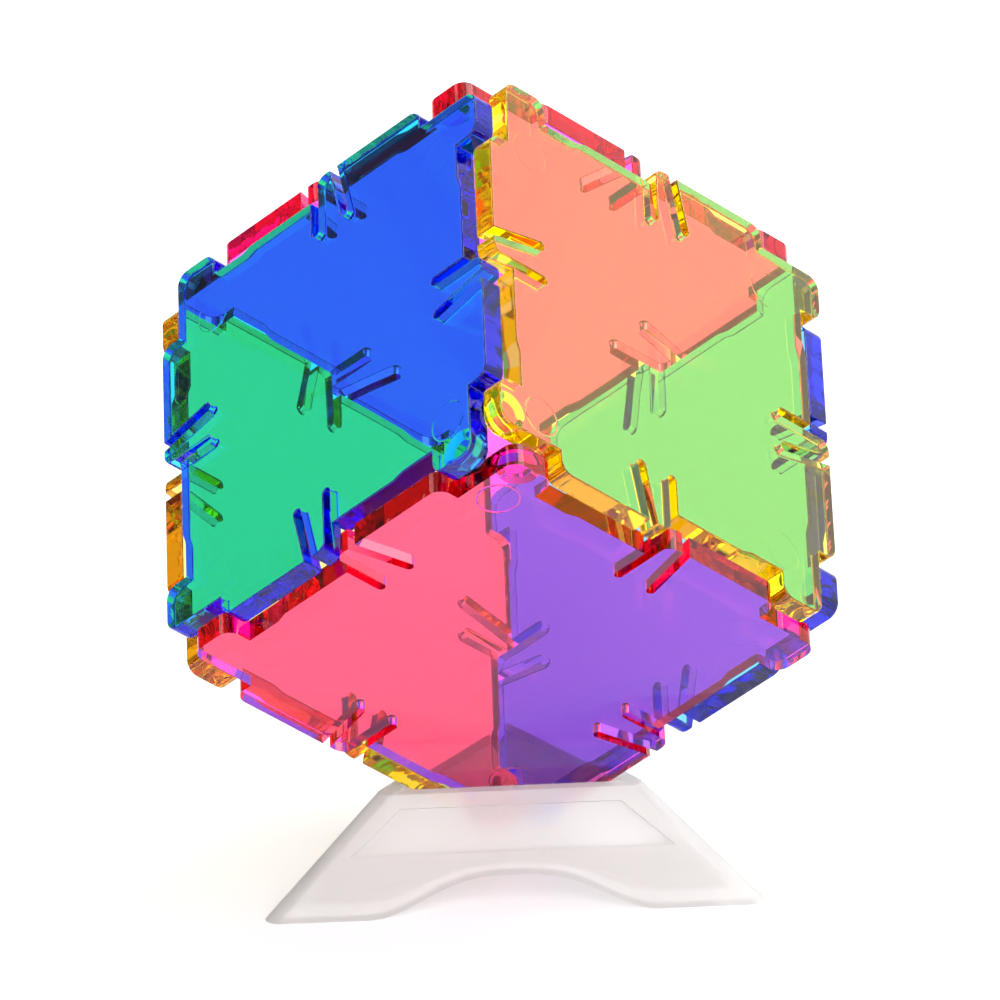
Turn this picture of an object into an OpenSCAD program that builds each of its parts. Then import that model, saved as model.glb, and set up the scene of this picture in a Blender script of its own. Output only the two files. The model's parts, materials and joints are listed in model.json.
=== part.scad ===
// Hollow cube of six snap-together square panels, standing on one corner in a three-sided stand.
// Origin: middle of the stand's underside, on the cube's upright diagonal. +Z is up, -Y is the front.

/* [Cube] */
// Edge length of the assembled cube, outer face to outer face
cube_edge = 60; // [50:1:70]
// Thickness of a panel
panel_t = 3.1; // [2.8:0.1:3.3]
// Share of an edge that the short finger at its end takes
short_share = 0.185; // [0.17:0.005:0.2]
// Radius of a finger's outer corners, seen square to the panel
finger_r = 1.8; // [1:0.1:2]
// How far a finger's tip stops short of the neighbour's outer face
tip_setback = 1.2; // [0.9:0.1:1.4]
// Free space between a finger's inner face and the floor of the notch that it fills
notch_gap = 1.2; // [1:0.1:1.4]
// Free gap on each side of a finger
finger_gap = 0.05; // [0.03:0.01:0.1]

/* [Snap tongue] */
// Width of the two slits that free a tongue
slit_w = 1.2; // [0.8:0.1:1.4]
// How far a slit reaches in from the panel's edge
slit_reach = 10; // [9:0.1:10.5]
// Lean of the outer slit away from the middle of the edge
slit_lean = 12; // [8:1:15]

/* [Notch pocket] */
// Extra depth of the pocket at the outer end of each notch
pocket_extra = 0.5; // [0.3:0.1:0.8]
// Distance of the pocket's full depth from the end of the edge
pocket_end = 16.3; // [15:0.1:18]

/* [Corner post] */
// Diameter of the low post at its foot on a panel's inner face
post_d = 5.2; // [4:0.1:5.2]
// Diameter of the post at its end
post_end_d = 3.4; // [2.4:0.1:3.8]
// Height of the post above the inner face
post_h = 0.9; // [0.6:0.1:1]

/* [Stand] */
// Height of the stand
stand_h = 13.4; // [12.4:0.2:15]
// Distance from the axis to a wall's outer face, at the rim
rim_reach = 10.2; // [9.8:0.1:11]
// Distance from the axis to a wall's outer face, at the floor
foot_reach = 18.9; // [18:0.1:20]
// Thickness of a wall, measured level
wall_t = 1.9; // [1.5:0.1:2]
// Height of the arch under each wall
arch_h = 4.3; // [3.5:0.1:5]
// Width of the arch at the floor
arch_w = 36; // [30:1:38]
// Depth of the sunk field on each wall
field_depth = 0.4; // [0.2:0.1:0.6]
// Width of the border round the sunk field
field_border = 3; // [2.5:0.1:3.5]

/* [Hidden] */
$fn = 48;

cyan = [0.0, 0.62, 0.88, 0.6];
magenta = [0.93, 0.08, 0.45, 0.6];
yellow = [1.0, 0.78, 0.05, 0.6];
frosted = [0.95, 0.93, 0.91, 0.5];

// Small overlap that lets joined shapes share volume
lap = 0.01;

// Along an edge: notch, long finger, notch, short finger
finger_start = short_share * cube_edge;
edge_middle = cube_edge / 2;
finger_end = cube_edge - finger_start;
notch_depth = panel_t + notch_gap;
pocket_depth = notch_depth + pocket_extra;
pocket_slope = 1.6;

// The slits stand either side of the tongue, which ends at the middle of the edge
outer_slit_at = 0.45 * cube_edge;
middle_slit_at = edge_middle + 0.3;

// The post stands on the short finger at the panel's lower right corner
post_from_corner = 7.5;
post_from_edge = 3.8;

// The cube stands with one corner straight down, so its upright diagonal is the Z axis
diagonal_tilt = atan(sqrt(2));
front_turn = 30;
seat_gap = 0.1;

// A wall's inner face meets a cube face along a level line at the rim
rim_inner_reach = rim_reach - wall_t;
corner_z = stand_h - sqrt(2) * (rim_inner_reach - seat_gap * sqrt(2 / 3));
wall_lean = atan((foot_reach - rim_reach) / stand_h);
wall_slope_length = stand_h / cos(wall_lean);
foot_corner_r = 2;
rim_corner_r = 1.6;
inner_corner_r = 0.4;
skin = 0.05;

// --- Panels -----------------------------------------------------------------

// A quarter turn about the middle of the panel
module quarter_turn(count) {
    translate([edge_middle, edge_middle, 0])
        rotate([0, 0, 90 * count])
            translate([-edge_middle, -edge_middle, 0])
                children();
}

// Plan of one finger on the lower edge, with round outer corners
module finger_plan(start, stop) {
    left = start + finger_gap;
    right = stop - finger_gap;
    translate([left, tip_setback + finger_r])
        square([right - left, notch_depth + lap - tip_setback - finger_r]);
    translate([left + finger_r, tip_setback])
        square([right - left - 2 * finger_r, notch_depth + lap - tip_setback]);
    for (x = [left + finger_r, right - finger_r])
        translate([x, tip_setback + finger_r])
            circle(r = finger_r);
}

// Plan of a slit that opens at the lower edge and leans by an angle
module slit_plan(at, lean) {
    straight = slit_reach - slit_w / 2;
    translate([at, 0])
        rotate([0, 0, lean]) {
            translate([-slit_w / 2, -slit_w])
                square([slit_w, straight + slit_w]);
            translate([0, straight])
                circle(d = slit_w);
        }
}

// Plan of the pocket that deepens the outer end of a notch
module pocket_plan() {
    slope_stop = cube_edge - pocket_end;
    slope_start = slope_stop - pocket_slope;
    polygon([
        [slope_start, notch_depth],
        [slope_stop, pocket_depth],
        [finger_end + finger_gap, pocket_depth],
        [finger_end + finger_gap, notch_depth - lap],
        [slope_start, notch_depth - lap],
    ]);
}

// Plan of a whole panel, seen from outside
module panel_plan() {
    difference() {
        union() {
            translate([notch_depth, notch_depth])
                square(cube_edge - 2 * notch_depth);
            for (q = [0:3])
                quarter_turn(q) {
                    finger_plan(finger_start, edge_middle);
                    finger_plan(finger_end, cube_edge - notch_depth + finger_gap);
                }
        }
        for (q = [0:3])
            quarter_turn(q) {
                pocket_plan();
                slit_plan(outer_slit_at, slit_lean);
                slit_plan(middle_slit_at, 0);
            }
    }
}

// Low tapered post on the inner face of one short finger
module corner_post() {
    translate([cube_edge - post_from_corner, post_from_edge, -panel_t - post_h])
        cylinder(d1 = post_end_d, d2 = post_d, h = post_h + lap);
}

// One panel: outer face in the plane z = 0, inner face below it
module panel() {
    translate([0, 0, -panel_t])
        linear_extrude(panel_t)
            panel_plan();
    corner_post();
}

// From the cube's own axes, with its lowest corner at their origin, to the stand's
module stand_cube_on_corner() {
    translate([0, 0, corner_z])
        rotate([0, 0, front_turn])
            rotate([0, -diagonal_tilt, 0])
                rotate([0, 0, -45])
                    children();
}

// A panel on one of the three faces that meet at the top corner
module upper_panel(face, quarter) {
    stand_cube_on_corner()
        rotate(a = 120 * face, v = [1, 1, 1])
            translate([0, 0, cube_edge])
                quarter_turn(quarter)
                    panel();
}

// A panel on one of the three faces that meet at the bottom corner
module lower_panel(face, quarter) {
    stand_cube_on_corner()
        rotate(a = 120 * face, v = [1, 1, 1])
            rotate(a = 180, v = [1, 1, 0])
                quarter_turn(quarter)
                    panel();
}

module front_bottom_panel() {
    color(magenta) lower_panel(2, 1);
}

module back_left_panel() {
    color(yellow) lower_panel(1, 3);
}

module back_right_panel() {
    color(cyan) lower_panel(0, 2);
}

module front_left_panel() {
    color(cyan) upper_panel(0, 0);
}

module front_right_panel() {
    color(yellow) upper_panel(1, 2);
}

module top_back_panel() {
    color(magenta) upper_panel(2, 1);
}

// --- Stand ------------------------------------------------------------------

// Three upright discs whose common tangents lie at a given reach from the axis
module corner_discs(reach, radius, z) {
    for (q = [0:2])
        rotate([0, 0, 90 + 120 * q])
            translate([2 * (reach - radius), 0, z])
                cylinder(r = radius, h = skin, $fn = 32);
}

// Three-sided tapered block with round corners
module tapered_block(low_reach, low_r, low_z, high_reach, high_r, high_z) {
    hull() {
        corner_discs(low_reach, low_r, low_z);
        corner_discs(high_reach, high_r, high_z - skin);
    }
}

// Height of the arch's underside at a distance from its middle
function arch_z(x, width, height) =
    height * (1 + cos(180 * pow(abs(2 * x / width), 1.4))) / 2;

// Outline of an arch opening: a level floor line under a flared curve
function arch_points(width, height) = [
    for (i = [0:24]) let (x = width * (0.5 - i / 24)) [x, arch_z(x, width, height)]
];

// Puts a drawing on the front wall's outer face: its Y runs up the slope, its Z points outwards
module on_front_wall() {
    translate([0, -foot_reach, 0])
        rotate([90 - wall_lean, 0, 0])
            children();
}

// Sunk field: the wall's outline drawn in by the border, with an arched foot
module sunk_field() {
    low_half = foot_reach * sqrt(3) - 2 * field_border;
    high_half = rim_reach * sqrt(3) - 1.3 * field_border;
    field_low = 0.8 * field_border;
    field_high = wall_slope_length - 0.6 * field_border;
    on_front_wall()
        translate([0, 0, -field_depth])
            linear_extrude(field_depth + lap)
                difference() {
                    polygon([
                        [-low_half, field_low],
                        [low_half, field_low],
                        [high_half, field_high],
                        [-high_half, field_high],
                    ]);
                    translate([0, field_low - lap])
                        polygon(arch_points(arch_w, arch_h));
                }
}

// The space under the arch of the front wall
module arch_cut() {
    translate([0, -rim_reach / 2, 0])
        rotate([90, 0, 0])
            linear_extrude(foot_reach)
                polygon(concat(
                    arch_points(arch_w, arch_h),
                    [[-arch_w / 2, -1], [arch_w / 2, -1]]
                ));
}

module stand() {
    color(frosted)
        difference() {
            tapered_block(foot_reach, foot_corner_r, 0, rim_reach, rim_corner_r, stand_h);
            tapered_block(foot_reach - wall_t, inner_corner_r, -lap,
                          rim_inner_reach, inner_corner_r, stand_h + lap);
            for (q = [0:2])
                rotate([0, 0, 120 * q]) {
                    arch_cut();
                    sunk_field();
                }
        }
}

stand();
front_bottom_panel();
back_left_panel();
back_right_panel();
front_left_panel();
front_right_panel();
top_back_panel();
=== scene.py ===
"""Looks of the colour-mixing panel cube on its corner stand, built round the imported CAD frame.

Metres, +Z up, -Y front. The six panels and the stand are the CAD solids with eased edges,
moulding marks and clear coloured plastics that darken with the length of the light's way through them.
"""

import json
import math

import bmesh
import bpy
from mathutils import Matrix, Vector


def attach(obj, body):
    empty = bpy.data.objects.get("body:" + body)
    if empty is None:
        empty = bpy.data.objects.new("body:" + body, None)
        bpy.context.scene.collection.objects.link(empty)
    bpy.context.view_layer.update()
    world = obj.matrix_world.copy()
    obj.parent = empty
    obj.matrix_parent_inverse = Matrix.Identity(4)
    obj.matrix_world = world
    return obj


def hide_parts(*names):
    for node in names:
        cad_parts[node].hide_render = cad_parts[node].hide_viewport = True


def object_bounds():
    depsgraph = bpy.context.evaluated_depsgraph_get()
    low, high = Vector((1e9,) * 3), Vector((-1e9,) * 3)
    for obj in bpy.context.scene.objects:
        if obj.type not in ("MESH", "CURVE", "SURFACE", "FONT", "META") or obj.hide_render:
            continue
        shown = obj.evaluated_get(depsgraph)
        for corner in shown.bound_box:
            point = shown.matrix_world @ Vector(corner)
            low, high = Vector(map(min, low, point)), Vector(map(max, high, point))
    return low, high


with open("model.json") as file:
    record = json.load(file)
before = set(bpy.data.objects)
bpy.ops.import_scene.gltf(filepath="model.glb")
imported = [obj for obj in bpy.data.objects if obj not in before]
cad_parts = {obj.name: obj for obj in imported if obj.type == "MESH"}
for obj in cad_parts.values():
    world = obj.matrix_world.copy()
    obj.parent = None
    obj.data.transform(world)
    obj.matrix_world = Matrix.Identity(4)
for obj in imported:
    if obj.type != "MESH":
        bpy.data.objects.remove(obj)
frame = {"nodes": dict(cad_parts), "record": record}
cad_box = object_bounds()
MM = 0.001

# Moulding marks, in millimetres
RING_FROM_SIDES = 9.4
RING_RADIUS = 2.7
RING_HALF_WIDTH = 0.15
RING_HEIGHT = 0.1
INNER_FACE_DEPTH = -3.0
TIP_DEPTH = 1.3
WAVE_BOW_DEPTH = 1.4
WAVE_LENGTH = 3.2
FINE_WAVE_LENGTH = 0.9
WAVE_BOW = 0.25
FINE_SHARE = 0.15
RIPPLE_HEIGHT = 0.014
SLOW_WAVE_HEIGHT = 0.03

# Light's slanting way through one panel, and the size of the rounding on its edges, in millimetres
LIGHT_WAY = 3.7
PANEL_EASE = 0.22
STAND_EASE = 0.25

# --- The cube's own axes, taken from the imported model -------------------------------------

axes = {j["name"]: Vector(j["axis"]).normalized() for j in frame["record"]["behaviour"]["joints"]}
axis_x = axes["front_right_unsnap"]
axis_y = axes["top_back_unsnap"]
axis_z = axes["front_left_unsnap"]


def reach(node, axis, side):
    """The furthest (side 1) or nearest (side -1) a node's vertices lie along an axis."""
    return side * max(side * axis.dot(v.co) for v in frame["nodes"][node].data.vertices)


low = Vector((reach("back_left_panel", axis_x, -1),
              reach("front_bottom_panel", axis_y, -1),
              reach("back_right_panel", axis_z, -1)))
EDGE = reach("front_left_panel", axis_z, 1) - low.z
corner = axis_x * low.x + axis_y * low.y + axis_z * low.z
centre = corner + (axis_x + axis_y + axis_z) * EDGE / 2

# Each panel: the two edges of its outer face, and its outward normal, in the cube's axes
X, Y, Z = Vector((1, 0, 0)), Vector((0, 1, 0)), Vector((0, 0, 1))
PANELS = {
    "front_left_panel": ("cyan", X, Y, Z, "front_left"),
    "front_right_panel": ("yellow", Y, Z, X, "front_right"),
    "top_back_panel": ("magenta_back", Z, X, Y, "top_back"),
    "back_right_panel": ("cyan_back", Y, X, -Z, "back_pair"),
    "back_left_panel": ("yellow_back", Z, Y, -X, "back_pair"),
    "front_bottom_panel": ("magenta", X, Z, -Y, "front_bottom"),
}

# --- Materials ----------------------------------------------------------------------------


def new_material(name):
    material = bpy.data.materials.new(name)
    material.use_nodes = True
    nodes = material.node_tree.nodes
    return material, nodes, material.node_tree.links, nodes["Principled BSDF"]


def math_node(nodes, links, operation, first, second=None, third=None):
    """One Math node; its inputs are sockets or numbers."""
    node = nodes.new("ShaderNodeMath")
    node.operation = operation
    for socket, value in zip(node.inputs, (first, second, third)):
        if value is None:
            continue
        if isinstance(value, (int, float)):
            socket.default_value = value
        else:
            links.new(value, socket)
    return node.outputs[0]


def moulding_marks(nodes, links):
    """Height of the moulded surface, in millimetres: rings near the corners and ripples on finger tips."""
    place = nodes.new("ShaderNodeAttribute")
    place.attribute_name = "panel_mm"
    split = nodes.new("ShaderNodeSeparateXYZ")
    links.new(place.outputs["Vector"], split.inputs[0])
    edge_mm = EDGE / MM

    def calc(*args):
        return math_node(nodes, links, *args)

    from_side = [calc("MINIMUM", s, calc("SUBTRACT", edge_mm, s)) for s in split.outputs[:2]]
    # Ring of an ejector pin, at the same place beside each corner
    off = [calc("SUBTRACT", s, RING_FROM_SIDES) for s in from_side]
    radius = calc("SQRT", calc("ADD", calc("MULTIPLY", off[0], off[0]), calc("MULTIPLY", off[1], off[1])))
    from_ring = calc("ABSOLUTE", calc("SUBTRACT", radius, RING_RADIUS))
    ring = calc("SMOOTH_MIN", from_ring, RING_HALF_WIDTH, 0.05)
    on_inner_face = calc("LESS_THAN", split.outputs[2], INNER_FACE_DEPTH)
    # Ripples across a finger's tip
    on_tip = calc("LESS_THAN", calc("MINIMUM", from_side[0], from_side[1]), TIP_DEPTH)
    on_u_side = calc("LESS_THAN", from_side[0], from_side[1])
    along = calc("ADD", calc("MULTIPLY", on_u_side, split.outputs[1]),
                 calc("MULTIPLY", calc("SUBTRACT", 1.0, on_u_side), split.outputs[0]))
    bow = calc("MULTIPLY", calc("POWER", calc("ADD", split.outputs[2], WAVE_BOW_DEPTH), 2.0), WAVE_BOW)
    wave = calc("SINE", calc("MULTIPLY", calc("ADD", along, bow), 2 * math.pi / WAVE_LENGTH))
    fine = calc("SINE", calc("MULTIPLY", calc("ADD", along, bow), 2 * math.pi / FINE_WAVE_LENGTH))
    ripple = calc("MULTIPLY", on_tip, calc("ADD", wave, calc("MULTIPLY", fine, FINE_SHARE)))
    ring_height = calc("MULTIPLY", on_inner_face, calc("MULTIPLY", ring, RING_HEIGHT))
    return calc("ADD", ring_height, calc("MULTIPLY", ripple, RIPPLE_HEIGHT))


def clear_plastic(name, passed):
    """Glossy clear moulded plastic; passed is the light that gets through one panel, by colour."""
    material, nodes, links, shader = new_material(name)
    shader.inputs["Base Color"].default_value = (1, 1, 1, 1)
    shader.inputs["Transmission Weight"].default_value = 1.0
    shader.inputs["IOR"].default_value = 1.5
    shader.inputs["Roughness"].default_value = 0.012

    slow = nodes.new("ShaderNodeTexNoise")
    slow.inputs["Scale"].default_value = 60
    slow.inputs["Detail"].default_value = 1
    coords = nodes.new("ShaderNodeTexCoord")
    links.new(coords.outputs["Object"], slow.inputs["Vector"])
    height = math_node(nodes, links, "MULTIPLY_ADD", slow.outputs["Fac"], SLOW_WAVE_HEIGHT,
                       moulding_marks(nodes, links))
    bump = nodes.new("ShaderNodeBump")
    bump.inputs["Strength"].default_value = 1.0
    bump.inputs["Distance"].default_value = MM
    links.new(height, bump.inputs["Height"])
    links.new(bump.outputs["Normal"], shader.inputs["Normal"])

    way = LIGHT_WAY * MM
    losses = [-math.log(p) / way for p in passed]
    density = max(losses)
    absorb = nodes.new("ShaderNodeVolumeAbsorption")
    absorb.inputs["Color"].default_value = [1 - loss / density for loss in losses] + [1]
    absorb.inputs["Density"].default_value = density
    links.new(absorb.outputs[0], nodes["Material Output"].inputs["Volume"])
    return material


def frosted_plastic():
    """Clear plastic with a fine matt surface, which blurs what is behind it."""
    material, nodes, links, shader = new_material("frosted_clear")
    shader.inputs["Base Color"].default_value = (1.0, 0.98, 0.965, 1)
    shader.inputs["Transmission Weight"].default_value = 0.6
    shader.inputs["IOR"].default_value = 1.5
    coords = nodes.new("ShaderNodeTexCoord")
    grain = nodes.new("ShaderNodeTexNoise")
    grain.inputs["Scale"].default_value = 2600
    grain.inputs["Detail"].default_value = 3
    links.new(coords.outputs["Object"], grain.inputs["Vector"])
    spread = nodes.new("ShaderNodeMapRange")
    spread.inputs["To Min"].default_value = 0.34
    spread.inputs["To Max"].default_value = 0.5
    links.new(grain.outputs["Fac"], spread.inputs["Value"])
    links.new(spread.outputs[0], shader.inputs["Roughness"])
    bump = nodes.new("ShaderNodeBump")
    bump.inputs["Strength"].default_value = 0.25
    bump.inputs["Distance"].default_value = 0.02 * MM
    links.new(grain.outputs["Fac"], bump.inputs["Height"])
    links.new(bump.outputs["Normal"], shader.inputs["Normal"])
    return material


# The light that one panel passes, by colour, set apart for the two panels that share a colour
plastics = {
    "cyan": clear_plastic("clear_cyan", (0.02, 0.61, 0.97)),
    "cyan_back": clear_plastic("clear_cyan_back", (0.17, 0.64, 0.97)),
    "magenta": clear_plastic("clear_magenta", (0.97, 0.075, 0.62)),
    "magenta_back": clear_plastic("clear_magenta_back", (0.98, 0.13, 0.80)),
    "yellow": clear_plastic("clear_yellow", (0.98, 0.94, 0.14)),
    "yellow_back": clear_plastic("clear_yellow_back", (0.98, 0.93, 0.21)),
}

# --- Pieces -------------------------------------------------------------------------------


def eased_copy(node, name, ease, material):
    """A new piece with a CAD node's shape, its seams welded and its sharp edges rounded over."""
    bm = bmesh.new()
    bm.from_mesh(frame["nodes"][node].data)
    bmesh.ops.remove_doubles(bm, verts=bm.verts, dist=2e-6)
    bmesh.ops.dissolve_limit(bm, angle_limit=math.radians(0.6), verts=bm.verts, edges=bm.edges)
    sharp = [e for e in bm.edges if len(e.link_faces) == 2 and e.calc_face_angle() > math.radians(38)]
    bmesh.ops.bevel(bm, geom=sharp, offset=ease, offset_type="OFFSET", segments=3, profile=0.5,
                    affect="EDGES", clamp_overlap=True, loop_slide=True)
    bmesh.ops.recalc_face_normals(bm, faces=bm.faces)
    mesh = bpy.data.meshes.new(name)
    bm.to_mesh(mesh)
    bm.free()
    for face in mesh.polygons:
        face.use_smooth = True
    mesh.materials.append(material)
    piece = bpy.data.objects.new(name, mesh)
    bpy.context.collection.objects.link(piece)
    weighted = piece.modifiers.new("flat_faces", "WEIGHTED_NORMAL")
    weighted.keep_sharp = True
    return piece


def panel_piece(node):
    colour, u, v, out, body = PANELS[node]
    piece = eased_copy(node, node.replace("_panel", "_plate"), PANEL_EASE * MM, plastics[colour])
    # Where each vertex lies on its own panel, in millimetres from the panel's lower corner
    world = Matrix((axis_x, axis_y, axis_z))
    places = piece.data.attributes.new("panel_mm", "FLOAT_VECTOR", "POINT")
    for vertex, place in zip(piece.data.vertices, places.data):
        local = world @ (vertex.co - corner)
        depth = local.dot(out) - (EDGE if out.dot(X + Y + Z) > 0 else 0)
        place.vector = (local.dot(u) / MM, local.dot(v) / MM, depth / MM)
    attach(piece, body)
    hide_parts(node)


for node in PANELS:
    panel_piece(node)

stand = eased_copy("stand", "stand_shell", STAND_EASE * MM, frosted_plastic())
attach(stand, "stand")
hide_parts("stand")

# --- Floor, light and camera --------------------------------------------------------------


def add_floor():
    mesh = bpy.data.meshes.new("floor")
    half = 4.0
    corners = [(-half, -half, 0), (half, -half, 0), (half, half, 0), (-half, half, 0)]
    mesh.from_pydata(corners, [], [(0, 1, 2, 3)])
    material, nodes, links, shader = new_material("white_floor")
    shader.inputs["Base Color"].default_value = (0.9, 0.9, 0.9, 1)
    shader.inputs["Roughness"].default_value = 0.9
    shader.inputs["Emission Color"].default_value = (1, 1, 1, 1)
    shader.inputs["Emission Strength"].default_value = 0.35
    mesh.materials.append(material)
    floor = bpy.data.objects.new("floor", mesh)
    bpy.context.collection.objects.link(floor)
    floor.location.z = cad_box[0][2] - 0.05 * MM


def add_light(name, place, size, power):
    data = bpy.data.lights.new(name, "AREA")
    data.shape = "SQUARE"
    data.size = size
    data.energy = power
    light = bpy.data.objects.new(name, data)
    light.location = place
    light.rotation_euler = (centre - Vector(place)).to_track_quat("-Z", "Y").to_euler()
    bpy.context.collection.objects.link(light)


def add_world():
    """Pale surroundings, dim on the left and bright on the right, as a studio with one bright side."""
    world = bpy.data.worlds.new("studio")
    bpy.context.scene.world = world
    world.use_nodes = True
    nodes, links = world.node_tree.nodes, world.node_tree.links
    coords = nodes.new("ShaderNodeTexCoord")
    split = nodes.new("ShaderNodeSeparateXYZ")
    links.new(coords.outputs["Generated"], split.inputs[0])
    side = nodes.new("ShaderNodeMapRange")
    side.interpolation_type = "SMOOTHSTEP"
    side.inputs["From Min"].default_value = -0.7
    side.inputs["From Max"].default_value = 0.7
    side.inputs["To Min"].default_value = 0.1
    side.inputs["To Max"].default_value = 1.25
    links.new(split.outputs["X"], side.inputs["Value"])
    links.new(side.outputs[0], nodes["Background"].inputs["Strength"])
    nodes["Background"].inputs["Color"].default_value = (1, 1, 1, 1)


def add_camera():
    elevation, roll, distance = math.radians(17.4), math.radians(-2.4), 22.1 * EDGE
    back = Vector((0, -math.cos(elevation), math.sin(elevation)))
    right = Vector((1, 0, 0))
    up = back.cross(right)
    tilted_right = right * math.cos(roll) + up * math.sin(roll)
    tilted_up = up * math.cos(roll) - right * math.sin(roll)
    data = bpy.data.cameras.new("camera")
    data.sensor_width = 36
    data.lens = 382
    camera = bpy.data.objects.new("camera", data)
    aim = centre + tilted_right * 0.0073 * EDGE - tilted_up * 0.086 * EDGE
    camera.matrix_world = Matrix.Translation(aim + back * distance) @ Matrix(
        (tilted_right, tilted_up, back)).transposed().to_4x4()
    bpy.context.collection.objects.link(camera)
    bpy.context.scene.camera = camera


add_floor()
add_world()
add_light("key_softbox", (0.9, 0.5, 1.3), 1.2, 14)
add_light("left_softbox", (-1.2, 0.2, 1.0), 0.9, 5)
add_light("front_fill", (0.1, -1.6, 0.9), 1.2, 14)
add_camera()
bpy.context.scene.view_settings.view_transform = "Standard"
# Light passes many faces inside the clear edges before it leaves them
cycles = bpy.context.scene.cycles
cycles.max_bounces = cycles.transmission_bounces = cycles.glossy_bounces = 32
